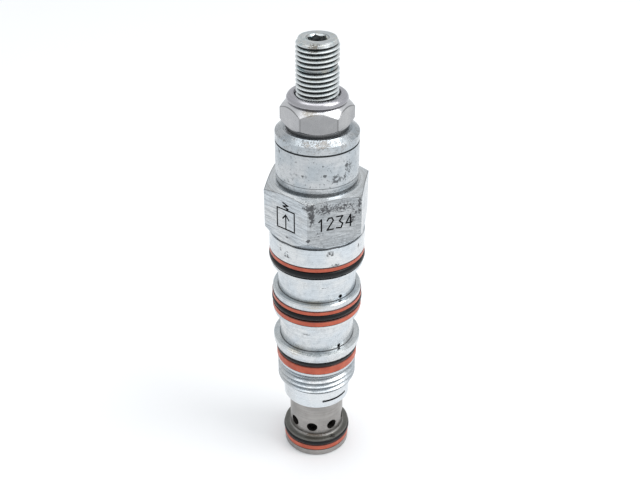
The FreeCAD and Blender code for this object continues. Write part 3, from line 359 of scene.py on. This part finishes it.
def hexagon_wear(graph, colour):
    """Milling lines on all flats, and the more worn and mottled tone of the front right flat."""
    on_hexagon = graph.between(graph.z, HEX_BOTTOM + 0.3, HEX_TOP - 0.2, 0.1)
    combine = graph.tree.nodes.new("ShaderNodeCombineXYZ")
    tilted = graph.math("ADD", graph.z, graph.math("MULTIPLY", graph.x, 0.07))
    graph.feed(combine.inputs[0], graph.math("MULTIPLY", graph.x, 0.25))
    graph.feed(combine.inputs[1], graph.math("MULTIPLY", graph.y, 0.25))
    graph.feed(combine.inputs[2], graph.math("MULTIPLY", tilted, 4.2))
    milling = graph.noise(1.0, 6.0, 0.75, combine.outputs[0])
    colour = graph.mix(graph.both(on_hexagon, graph.remap(milling, 0.46, 0.64, 0.10, 0.80)), colour,
                       (0.27, 0.285, 0.30))
    out, _ = graph.across_flat(DIGITS_FLAT)
    on_flat = graph.both(on_hexagon, graph.remap(out, HEX_HALF_AF - 0.20, HEX_HALF_AF - 0.10, 0, 1))
    colour = graph.mix(graph.both(on_flat, graph.remap(milling, 0.36, 0.58, 0.15, 0.90)), colour,
                       (0.30, 0.315, 0.325))
    mottle = graph.noise(1.7, 8.0, 0.78)
    colour = graph.mix(graph.both(on_flat, graph.remap(mottle, 0.52, 0.62, 0, 0.60)), colour,
                       (0.17, 0.18, 0.19))
    out, _ = graph.across_flat(SYMBOL_FLAT)
    polished = graph.both(on_hexagon, graph.remap(out, HEX_HALF_AF - 0.20, HEX_HALF_AF - 0.10, 0, 1))
    colour = graph.mix(graph.both(polished, graph.remap(milling, 0.46, 0.34, 0, 0.40)), colour,
                       (0.80, 0.82, 0.84))
    return colour, milling, on_hexagon, on_flat


def body_marks(graph):
    """The engraved marks' floors, etched dark and with painted shade, painted shade in the slot and the port
    holes, and painted shade in the corners of the turned steps.
    """
    marks = []
    for angle in (SYMBOL_FLAT, DIGITS_FLAT):
        out, across = graph.across_flat(angle)
        deep = graph.between(out, HEX_HALF_AF - MARKS_DEPTH, HEX_HALF_AF - 0.03, 0.01)
        marks.append(graph.both(deep, graph.between(across, -MARKS_HALF_WIDTH, MARKS_HALF_WIDTH, 0.05),
                                graph.between(graph.z, *MARKS_Z, 0.05)))
    # painted shade on the port holes' walls
    for angle, radius, z in PORT_HOLES:
        on_wall = graph.remap(graph.radius, radius + 0.05, radius + 0.10, 1, 0)
        marks.append(graph.both(graph.spot(angle, radius, z, PORT_HOLE_R), on_wall))
    # painted shade inside the slot
    out, across = graph.across_flat(SLOT_MIDDLE_ANGLE)
    marks.append(graph.both(graph.between(graph.z, SLOT_Z - 0.30, SLOT_Z + 0.30, 0.02),
                            graph.between(across, -SLOT_HALF_LENGTH, SLOT_HALF_LENGTH, 0.03),
                            graph.remap(out, 5.5, 6.0, 0, 1)))
    # painted shade in the undercut and at the feet of the necks
    corners = [graph.both(graph.between(graph.z, *UNDERCUT, 0.05),
                          graph.remap(graph.radius, UNDERCUT_R, UNDERCUT_R + 0.18, 1, 0))]
    for radius, z in NECK_FEET:
        corners.append(graph.both(graph.between(graph.z, z - 0.1, z + 0.14, 0.08),
                                  graph.between(graph.radius, radius - 0.1, radius + 0.16, 0.08)))
    return graph.most(*marks), graph.most(*corners)


def body_stains(graph, on_flat):
    """Ragged dark stains on the hexagon's corners, chips on the shoulder and specks all over."""
    coarse = graph.noise(1.3, 7.0, 0.72, distortion=0.3)
    grain = graph.noise(2.1, 8.0, 0.75)
    textures = {"coarse": coarse, "grain": grain}
    stains = graph.most(graph.ragged(CORNER_STAINS, textures),
                        graph.both(on_flat, graph.ragged(FLAT_STAINS, textures)))
    chips = graph.ragged(BODY_CHIPS, textures)
    specks = graph.both(graph.remap(graph.cells(0.9), 0.07, 0.12, 1, 0),
                        graph.remap(grain, 0.48, 0.56, 0, 1))
    return stains, chips, specks


def valve_body_material():
    """Plated body: milled and worn hexagon with a painted highlight on its chamfer, chipped shoulder, ringed
    flanges, and painted shade in the thread roots, the step corners, the port holes and the slot.
    """
    graph = Graph("zinc_body")
    colour, roughness, turned = zinc_base(graph, (0.60, 0.645, 0.68), (0.69, 0.705, 0.71))
    colour, milling, on_hexagon, on_flat = hexagon_wear(graph, colour)
    marks, corners = body_marks(graph)
    stains, chips, specks = body_stains(graph, on_flat)

    # the flanges' upper faces: turned rings with a green-grey and a tan tint
    faces = graph.most(*[
        graph.both(graph.between(graph.z, z - 0.40, z + 0.02, 0.05),
                   graph.remap(graph.radius, r + 0.05, r + 0.2, 0, 1))
        for r, z in NECK_FEET
    ])
    ring_lines = graph.rings(11.0, 3.0)
    dull = graph.both(faces, graph.remap(ring_lines, 0.48, 0.62, 0, 0.60))
    colour = graph.mix(dull, colour, (0.42, 0.47, 0.46))
    bright = graph.both(faces, graph.remap(ring_lines, 0.46, 0.36, 0, 0.8))
    colour = graph.mix(bright, colour, (0.86, 0.88, 0.88))
    tan = graph.most(graph.broken(graph.near(-4.0, 10.2, 50.2, 3.4, (1.6, 0.5)), ring_lines, 0.42, 0.08),
                     graph.broken(graph.near(-32.0, 10.0, 35.4, 2.6, (1.3, 0.5)), ring_lines, 0.40, 0.08))
    colour = graph.mix(graph.math("MULTIPLY", tan, 0.55), colour, (0.42, 0.36, 0.26))

    # the hexagon's upper chamfer: a painted highlight, with warm grey rings and a painted shade line along the
    # flats
    off_flats = graph.math("SUBTRACT", 1.0, graph.on_flats(DIGITS_FLAT, HEX_HALF_AF))
    chamfer = graph.both(graph.remap(graph.z, HEX_CHAMFER_LOW, HEX_CHAMFER_LOW + 0.2, 0, 1),
                         graph.remap(graph.radius, 9.2, 9.4, 0, 1), off_flats)
    colour = graph.mix(graph.math("MULTIPLY", chamfer, 0.55), colour, (0.78, 0.80, 0.81))
    edge = graph.both(graph.chamfer_edge(DIGITS_FLAT, HEX_HALF_AF),
                      graph.remap(graph.z, HEX_CHAMFER_LOW - 0.4, HEX_CHAMFER_LOW + 0.2, 0, 0.62))
    colour = graph.mix(graph.both(chamfer, graph.remap(ring_lines, 0.46, 0.62, 0, 0.70)), colour,
                       (0.36, 0.355, 0.34))

    # the thread: painted shade in the roots under the bright crests, and the brighter cylinder below it
    on_thread = graph.between(graph.z, *THREAD_Z, 0.15)
    thread_root_shade = graph.both(on_thread, graph.remap(graph.radius, *THREAD_ROOT_SHADE_R, 0.50, 0))
    low = graph.remap(graph.z, 22.3, 21.7, 0, 0.40)
    colour = graph.mix(low, colour, (0.80, 0.83, 0.855))
    colour = graph.mix(thread_root_shade, colour, (0.17, 0.185, 0.20))

    # real stains, chips and specks, with painted shade in the step corners and a painted shade line along the
    # chamfer's edge
    dark = graph.most(graph.math("MULTIPLY", stains, 0.86), graph.math("MULTIPLY", chips, 0.85),
                      graph.math("MULTIPLY", specks, 0.55), graph.math("MULTIPLY", corners, 0.78), edge)
    colour = graph.mix(dark, colour, (0.075, 0.075, 0.08))
    # etched dark and painted shade in the engraved floors, painted shade in the port holes and the slot
    colour = graph.mix(marks, colour, (0.012, 0.012, 0.014))
    roughness = graph.math("ADD", roughness, graph.math("MULTIPLY", graph.most(dark, marks), 0.35), True)

    normal = graph.bump(turned, 0.14, 0.02)
    normal = graph.bump(graph.both(milling, on_hexagon), 0.30, 0.05, normal)
    normal = graph.bump(graph.math("MULTIPLY", graph.most(chips, stains), -1.0), 0.5, 0.06, normal)
    return graph.finish(colour, roughness, normal=normal)


def cap_material():
    """Plated round cap: turning lines, painted shade in its groove and at its foot, a painted shadow under the
    nut, scuffs on its right side.
    """
    graph = Graph("zinc_cap")
    colour, roughness, turned = zinc_base(graph, (0.445, 0.485, 0.515), (0.555, 0.57, 0.58))
    coarse = graph.noise(1.5, 7.0, 0.72)
    grain = graph.noise(2.4, 8.0, 0.75)
    textures = {"coarse": coarse, "grain": grain}
    rim = graph.near(27.0, 9.5, 83.2, 1.7, (1.2, 0.9))
    scuffs = graph.most(
        graph.broken(graph.both(rim, graph.remap(rim, 0.97, 0.75, 0.1, 1)), coarse, 0.32, 0.05),
        graph.ragged(CAP_SCUFFS, textures),
    )
    on_chamfer = graph.between(graph.z, CAP_GROOVE_Z + 0.4, CAP_TOP_Z - 0.1, 0.1)
    mottle = graph.both(on_chamfer, graph.remap(graph.noise(1.1, 7.0, 0.75), 0.50, 0.62, 0, 0.65))
    patch = graph.most(graph.ragged(CAP_PATCHES, textures), mottle)
    specks = graph.both(graph.remap(graph.cells(0.85), 0.07, 0.12, 1, 0),
                        graph.remap(grain, 0.49, 0.57, 0, 1))
    # painted shade in the groove, the fine line and the foot, and a painted shadow round the nut's seat on the
    # top face
    crevice_shade = graph.most(
        graph.both(graph.between(graph.z, CAP_GROOVE_Z - 0.24, CAP_GROOVE_Z + 0.20, 0.04),
                   graph.remap(graph.radius, 9.46, 9.30, 0.55, 1)),
        graph.math("MULTIPLY", graph.between(graph.z, CAP_LINE_Z - 0.09, CAP_LINE_Z + 0.07, 0.03), 0.45),
        graph.math("MULTIPLY", graph.between(graph.z, CAP_FOOT_Z - 0.5, CAP_FOOT_Z + 0.10, 0.08), 0.75),
        graph.both(graph.remap(graph.z, CAP_TOP_Z - 0.05, CAP_TOP_Z + 0.05, 0, 0.75),
                   graph.remap(graph.radius, 7.15, 7.0, 0, 1)),
    )
    colour = graph.mix(graph.math("MULTIPLY", patch, 0.75), colour, (0.24, 0.215, 0.19))
    # real scuffs and specks, with the painted shade and shadow
    dark = graph.most(graph.math("MULTIPLY", scuffs, 0.80), graph.math("MULTIPLY", specks, 0.6),
                      graph.math("MULTIPLY", crevice_shade, 0.9))
    colour = graph.mix(dark, colour, (0.085, 0.09, 0.095))
    roughness = graph.math("ADD", roughness, graph.math("MULTIPLY", dark, 0.3), True)
    normal = graph.bump(turned, 0.14, 0.02)
    normal = graph.bump(graph.math("MULTIPLY", graph.most(scuffs, patch), -1.0), 0.4, 0.05, normal)
    return graph.finish(colour, roughness, normal=normal)


def screw_material():
    """Plated thread: painted highlight on the crests, blue-green and straw tints, painted shade in the roots
    and the socket.
    """
    graph = Graph("zinc_screw")
    colour, roughness, turned = zinc_base(graph, (0.66, 0.70, 0.71), (0.73, 0.74, 0.72))
    tint = graph.noise(0.55, 4.0, 0.65, distortion=0.6)
    upper = graph.remap(graph.z, 101.0, 105.5, 0.45, 1)
    blue_green = graph.both(upper, graph.remap(tint, 0.32, 0.50, 0.85, 0))
    colour = graph.mix(blue_green, colour, (0.33, 0.47, 0.50))
    colour = graph.mix(graph.remap(tint, 0.54, 0.70, 0, 0.65), colour, (0.62, 0.60, 0.47))
    # painted highlight along the thread crests
    colour = graph.mix(graph.remap(graph.radius, 4.40, 4.60, 0, 0.70), colour, (0.88, 0.91, 0.91))
    # painted shade down the flanks into the thread roots
    flank = graph.remap(graph.radius, *SCREW_ROOT_SHADE_R, 0.95, 0)
    on_thread = graph.both(graph.remap(graph.radius, 3.95, 4.05, 0, 1),
                           graph.remap(graph.z, SCREW_THREAD_TOP - 0.1, SCREW_THREAD_TOP + 0.1, 1, 0))
    soil_and_root_shade = graph.both(flank, on_thread)
    patches = graph.noise(2.4, 8.0, 0.75)
    nicks = graph.both(graph.remap(patches, 0.60, 0.68, 0, 0.6), graph.remap(graph.radius, 3.0, 3.2, 0, 1))
    # painted shade inside the socket, darker with depth, broken by lighter speckles
    socket = graph.both(graph.remap(graph.radius, SOCKET_EDGE_R - 0.06, SOCKET_EDGE_R + 0.06, 1, 0),
                        graph.remap(graph.z, *SOCKET_Z, 1, 0.15))
    socket = graph.math("MULTIPLY", socket, graph.remap(patches, 0.42, 0.54, 1, 0.08))
    # painted shade line round the socket's rim
    mouth = graph.between(graph.radius, SOCKET_EDGE_R - 0.08, SOCKET_EDGE_R + 0.08, 0.03)
    stain = graph.broken(graph.near(-9.0, 4.4, 111.5, 3.2, (1.0, 0.7)), graph.noise(2.6, 8.0, 0.75), 0.43)
    colour = graph.mix(graph.math("MULTIPLY", stain, 0.75), colour, (0.17, 0.13, 0.08))
    # real nicks, with the painted shade in the roots, in the socket and round its rim
    dark = graph.most(soil_and_root_shade, socket, nicks, graph.both(mouth, graph.remap(graph.z, 112.0, 112.2, 0, 0.6)))
    colour = graph.mix(dark, colour, (0.022, 0.026, 0.028))
    roughness = graph.math("ADD", roughness, graph.math("MULTIPLY", graph.most(dark, stain), 0.3), True)
    return graph.finish(colour, roughness, normal=graph.bump(turned, 0.12, 0.02))


def nut_material():
    """Satin nut: grey brushed flats with a painted darker reflection on the front one and a painted lighter one
    on the left one, a painted highlight on the chamfers, painted shade along its edges and at its foot, and a
    violet-grey collar.
    """
    graph = Graph("nut_steel")
    drift = graph.noise(0.22, 2.0)
    upright = graph.noise(1.0, 6.0, 0.7, graph.stretched(3.5, 0.6))
    turned = graph.rings(7.0)
    on_collar = graph.remap(graph.z, NUT_COLLAR_Z, NUT_COLLAR_Z + 0.4, 0, 1)
    colour = graph.mix(graph.remap(drift, 0.3, 0.7, 0, 1), (0.345, 0.347, 0.355), (0.42, 0.42, 0.42))
    colour = graph.mix(graph.remap(upright, 0.48, 0.68, 0, 0.35), colour, (0.27, 0.27, 0.28))
    violet = graph.both(on_collar, graph.remap(turned, 0.35, 0.65, 0.35, 0.8))
    colour = graph.mix(violet, colour, (0.55, 0.535, 0.575))
    flats = graph.on_flats(NUT_FLAT, NUT_HALF_AF)
    # painted reflections: the front flat darker, the flat to its left lighter
    for angle, tone in ((NUT_FLAT, (0.31, 0.31, 0.315)), (NUT_FLAT - 60.0, (0.50, 0.50, 0.51))):
        out, _ = graph.across_flat(angle)
        on_flat = graph.remap(out, NUT_HALF_AF - 0.10, NUT_HALF_AF - 0.05, 0, 0.55)
        colour = graph.mix(graph.both(on_flat, graph.between(graph.z, *NUT_FLATS_Z, 0.1)), colour, tone)
    # painted highlight on the chamfers off the flats
    cone = graph.both(graph.math("SUBTRACT", 1.0, flats), graph.between(graph.z, *NUT_CONE_Z, 0.12))
    colour = graph.mix(graph.math("MULTIPLY", cone, 0.80), colour, (0.72, 0.72, 0.73))
    # painted shade line where the chamfer meets the flats
    edge = graph.both(graph.chamfer_edge(NUT_FLAT, NUT_HALF_AF), graph.between(graph.z, 93.0, 98.0, 0.1))
    stain = graph.broken(graph.near(-14.0, 6.9, 97.9, 3.4, (1.2, 0.6)), graph.noise(2.4, 8.0, 0.75), 0.43)
    colour = graph.mix(graph.math("MULTIPLY", stain, 0.50), colour, (0.26, 0.215, 0.13))
    # painted shade in the crease at the collar's foot
    neck_shade = graph.math("MULTIPLY", graph.between(graph.z, 98.15, 98.45, 0.08), 0.55)
    # painted shade lines down the hexagon's corners
    corner_r = NUT_HALF_AF / math.cos(math.radians(30))
    corners = graph.remap(graph.radius, corner_r - 0.16, corner_r - 0.08, 0, 0.35)
    # painted shade in the mouth of the bore
    bore_shade = graph.both(graph.remap(graph.radius, *NUT_MOUTH_SHADE_R, 0.92, 0),
                      graph.remap(graph.z, 99.0, 99.1, 0, 1))
    # painted shadow at the nut's foot, where it sits on the cap
    foot = graph.math("MULTIPLY", graph.remap(graph.z, 92.7, 93.1, 1, 0), 0.75)
    # all of these are painted shade and shadow
    dark = graph.most(bore_shade, neck_shade, foot, corners, graph.math("MULTIPLY", edge, 0.6))
    colour = graph.mix(dark, colour, (0.05, 0.05, 0.05))
    roughness = graph.remap(graph.noise(1.1, 4.0), 0.3, 0.7, 0.24, 0.36)
    height = graph.math("ADD", graph.both(upright, graph.math("SUBTRACT", 1.0, on_collar)),
                        graph.both(turned, on_collar))
    return graph.finish(colour, roughness, normal=graph.bump(height, 0.18, 0.02))


def ground_steel_material():
    """Bare ground steel with a warm grey tone, used for the nose and the inner moving pieces."""
    graph = Graph("ground_steel")
    drift = graph.noise(0.35, 3.0)
    turned = graph.rings(8.0)
    grain = graph.noise(2.4, 8.0, 0.75)
    colour = graph.mix(graph.remap(drift, 0.3, 0.7, 0, 1), (0.325, 0.312, 0.30), (0.40, 0.385, 0.37))
    colour = graph.mix(graph.remap(turned, 0.42, 0.66, 0, 0.45), colour, (0.20, 0.19, 0.18))
    fillet = graph.between(graph.z, *NOSE_FILLET_Z, 0.25)
    stain = graph.both(fillet, graph.broken(graph.near(-4.0, 7.4, 5.7, 5.0, (1.3, 0.6)), grain, 0.42, 0.06))
    colour = graph.mix(graph.math("MULTIPLY", stain, 0.7), colour, (0.14, 0.095, 0.06))
    flange = graph.both(graph.between(graph.z, *NOSE_FLANGE_Z, 0.15), graph.remap(graph.radius, 7.0, 7.3, 0, 1))
    colour = graph.mix(graph.math("MULTIPLY", flange, 0.72), colour, (0.11, 0.112, 0.10))
    mark = graph.broken(graph.near(31.5, 8.1, 5.45, 1.5, (1.1, 0.4)), grain, 0.40)
    # painted shade inside the sleeve's holes
    inside = graph.both(graph.between(graph.z, *SLEEVE_HOLES_Z, 0.1),
                        graph.remap(graph.radius, SLEEVE_SKIN_R, SLEEVE_SKIN_R - 0.14, 0, 1),
                        graph.remap(graph.radius, 3.5, 4.0, 0, 1))
    dark = graph.most(graph.math("MULTIPLY", mark, 0.85), graph.math("MULTIPLY", inside, 0.86))
    colour = graph.mix(dark, colour, (0.035, 0.03, 0.026))
    roughness = graph.remap(graph.noise(1.3, 4.0), 0.3, 0.7, 0.27, 0.40)
    roughness = graph.math("ADD", roughness, graph.math("MULTIPLY", graph.most(dark, flange), 0.25), True)
    return graph.finish(colour, roughness, normal=graph.bump(turned, 0.16, 0.02))


def rubber_material():
    """Black moulded rubber with a soft sheen, a faint grain and a little dust."""
    graph = Graph("black_rubber")
    graph.surface.inputs["Specular IOR Level"].default_value = 0.28
    dust = graph.noise(2.6, 8.0, 0.78)
    streaks = graph.noise(1.0, 5.0, 0.7, graph.stretched(0.5, 6.0))
    colour = graph.mix(graph.remap(dust, 0.58, 0.74, 0, 0.6), (0.006, 0.006, 0.007), (0.055, 0.058, 0.064))
    colour = graph.mix(graph.remap(streaks, 0.58, 0.70, 0, 0.4), colour, (0.040, 0.042, 0.047))
    roughness = graph.remap(graph.noise(1.1, 4.0), 0.3, 0.7, 0.24, 0.42)
    return graph.finish(colour, roughness, 0.0, graph.bump(graph.noise(9.0, 3.0), 0.10, 0.03))


def orange_ring_material():
    """Hard red-orange elastomer: waxy variation, rubbed streaks and painted shade lines along its edges."""
    graph = Graph("orange_ring")
    drift = graph.noise(0.45, 4.0, 0.6)
    streaks = graph.noise(1.0, 6.0, 0.75, graph.stretched(0.45, 5.0))
    soil_and_root_shade = graph.noise(2.2, 8.0, 0.78)
    colour = graph.mix(graph.remap(drift, 0.3, 0.7, 0, 1), (0.43, 0.068, 0.028), (0.56, 0.110, 0.048))
    colour = graph.mix(graph.remap(streaks, 0.54, 0.70, 0, 0.55), colour, (0.34, 0.060, 0.040))
    colour = graph.mix(graph.remap(soil_and_root_shade, 0.58, 0.74, 0, 0.6), colour, (0.20, 0.045, 0.035))
    # painted shade lines where the rings meet the metal and their grooves
    edge_shade = graph.most(*[graph.between(graph.z, z - 0.17, z + 0.17, 0.05) for z in RING_SHADE_LINES_Z])
    colour = graph.mix(graph.math("MULTIPLY", edge_shade, 0.88), colour, (0.05, 0.014, 0.012))
    roughness = graph.remap(graph.noise(1.4, 4.0), 0.3, 0.7, 0.32, 0.48)
    graph.surface.inputs["Subsurface Weight"].default_value = 0.08
    graph.surface.inputs["Subsurface Radius"].default_value = (0.8 * MM, 0.3 * MM, 0.15 * MM)
    return graph.finish(colour, roughness, 0.0, graph.bump(graph.noise(6.0, 4.0), 0.12, 0.03))


def wire_material():
    """Drawn spring wire, dark and slightly oily."""
    graph = Graph("spring_wire")
    drawn = graph.noise(1.2, 5.0, 0.65)
    colour = graph.mix(graph.remap(drawn, 0.3, 0.7, 0, 1), (0.16, 0.165, 0.18), (0.30, 0.30, 0.31))
    roughness = graph.remap(graph.noise(2.0, 4.0), 0.3, 0.7, 0.28, 0.42)
    return graph.finish(colour, roughness, normal=graph.bump(graph.noise(5.0, 3.0), 0.1, 0.02))


def paint_nodes():
    """Gives every CAD node its material."""
    ground = ground_steel_material()
    rubber = rubber_material()
    orange = orange_ring_material()
    wire = wire_material()
    by_slot = {"ground_steel": ground, "black_rubber": rubber, "orange_ring": orange,
               "spring_steel": wire, "seat_steel": ground}
    by_node = {"valve_body": valve_body_material(), "adapter_cap": cap_material(),
               "adjusting_screw": screw_material(), "locknut": nut_material()}
    for part in frame["record"]["subparts"]:
        node = NODES[part["node"]]
        material = by_node.get(part["node"]) or by_slot[part["material_slot"]]
        node.data.materials.clear()
        node.data.materials.append(material)


def coil(name, radius, wire_r, z_range, turns, share, material):
    """A stretch of a helical spring as a closed tube, flattened where its wire passes the spring's ends.

    z_range and turns are the whole spring's; share is the stretch of it, from 0 to 1, that is made.
    """
    low, high = z_range
    steps = round(turns * STEPS_PER_TURN * (share[1] - share[0]))
    rows = []
    for step in range(steps + 1):
        along = share[0] + (share[1] - share[0]) * step / steps
        angle = 2 * math.pi * turns * along
        centre_z = low + wire_r + (high - low - 2 * wire_r) * along
        row = []
        for side in range(WIRE_SIDES):
            around = 2 * math.pi * side / WIRE_SIDES
            r = radius + wire_r * math.cos(around)
            z = min(max(centre_z + wire_r * math.sin(around), low), high)
            row.append((r * math.sin(angle) * MM, -r * math.cos(angle) * MM, z * MM))
        rows.append(row)
    faces = []
    for step in range(steps):
        for side in range(WIRE_SIDES):
            a = step * WIRE_SIDES + side
            b = step * WIRE_SIDES + (side + 1) % WIRE_SIDES
            faces.append((a, b, b + WIRE_SIDES, a + WIRE_SIDES))
    last = steps * WIRE_SIDES
    faces.append(tuple(reversed(range(WIRE_SIDES))))
    faces.append(tuple(range(last, last + WIRE_SIDES)))
    mesh = bpy.data.meshes.new(name)
    mesh.from_pydata([place for row in rows for place in row], [], faces)
    shell = bmesh.new()
    shell.from_mesh(mesh)
    bmesh.ops.recalc_face_normals(shell, faces=shell.faces)
    shell.to_mesh(mesh)
    shell.free()
    mesh.shade_smooth()
    mesh.materials.append(material)
    piece = bpy.data.objects.new(name, mesh)
    bpy.context.scene.collection.objects.link(piece)
    return piece


def springs():
    """Both springs as built coils in place of the CAD ones: the main one in two halves, the check's in one."""
    material = bpy.data.materials["spring_wire"]
    low, high = MAIN_SPRING_Z
    middle = (low + high) / 2
    halves = (("main_spring_lower", (0.0, 0.5), "poppet", "root", low, middle),
              ("main_spring_upper", (0.5, 1.0), "root", "upper_seat", middle, high))
    for name, share, first, second, start, end in halves:
        piece = coil(name, MAIN_SPRING_R, MAIN_SPRING_WIRE_R, MAIN_SPRING_Z, MAIN_SPRING_TURNS,
                     share, material)
        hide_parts("main_spring")
        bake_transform(piece)
    low, high = CHECK_SPRING_Z
    piece = coil("check_spring_coil", CHECK_SPRING_R, CHECK_SPRING_WIRE_R, CHECK_SPRING_Z,
                 CHECK_SPRING_TURNS, (0.0, 1.0), material)
    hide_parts("check_spring")
    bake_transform(piece)


def plain_material(name, colour, roughness):
    """Even, matt material for the studio's floor."""
    material = bpy.data.materials.new(name)
    material.use_nodes = True
    surface = material.node_tree.nodes["Principled BSDF"]
    surface.inputs["Base Color"].default_value = (*colour, 1)
    surface.inputs["Roughness"].default_value = roughness
    return material


def floor():
    """Large pale floor that stands in for the white studio sweep."""
    mesh = bpy.data.meshes.new("floor")
    half = FLOOR_HALF
    corners = [(-half, -half, 0), (half, -half, 0), (half, half, 0), (-half, half, 0)]
    mesh.from_pydata(corners, [], [(0, 1, 2, 3)])
    piece = bpy.data.objects.new("floor", mesh)
    bpy.context.scene.collection.objects.link(piece)
    mesh.materials.append(plain_material("floor_white", (0.93, 0.935, 0.94), 0.6))


def area_light(name, place, aim, size, power):
    """White rectangular light at a place, turned to its aim; metres and watts."""
    data = bpy.data.lights.new(name, "AREA")
    data.shape = "RECTANGLE"
    data.size, data.size_y = size
    data.energy = power
    light = bpy.data.objects.new(name, data)
    light.location = place
    light.rotation_euler = (Vector(aim) - Vector(place)).to_track_quat("-Z", "Y").to_euler()
    bpy.context.scene.collection.objects.link(light)


def studio():
    """Bright, soft, almost shadowless light, a little stronger from the right and above."""
    world = bpy.data.worlds.new("studio")
    world.use_nodes = True
    background = world.node_tree.nodes["Background"]
    background.inputs[0].default_value = (0.95, 0.975, 1.0, 1)
    background.inputs[1].default_value = WORLD_STRENGTH
    bpy.context.scene.world = world
    area_light("key_right", (0.35, -0.10, 0.55), (0, 0, 0.05), (0.30, 0.30), 1.5)
    area_light("fill_top", (-0.10, 0.15, 1.30), (0, 0.10, 0), (1.1, 1.1), 5.5)
    bpy.context.scene.view_settings.view_transform = "Standard"


def camera():
    """Looks down at the valve from in front, as in its usual three-quarter view from above."""
    data = bpy.data.cameras.new("camera")
    data.lens = CAMERA_LENS_MM
    data.sensor_width = 36.0
    data.clip_start = 0.005
    piece = bpy.data.objects.new("camera", data)
    piece.location = CAMERA_PLACE
    turn = Euler((0, 0, math.radians(CAMERA_YAW_DEG))).to_matrix()
    tilt = Euler((math.radians(90 - CAMERA_DOWN_DEG), 0, 0)).to_matrix()
    roll = Euler((0, 0, math.radians(CAMERA_ROLL_DEG))).to_matrix()
    piece.rotation_euler = (turn @ tilt @ roll).to_euler()
    bpy.context.scene.collection.objects.link(piece)
    bpy.context.scene.camera = piece


camera()
floor()
studio()
paint_nodes()
springs()
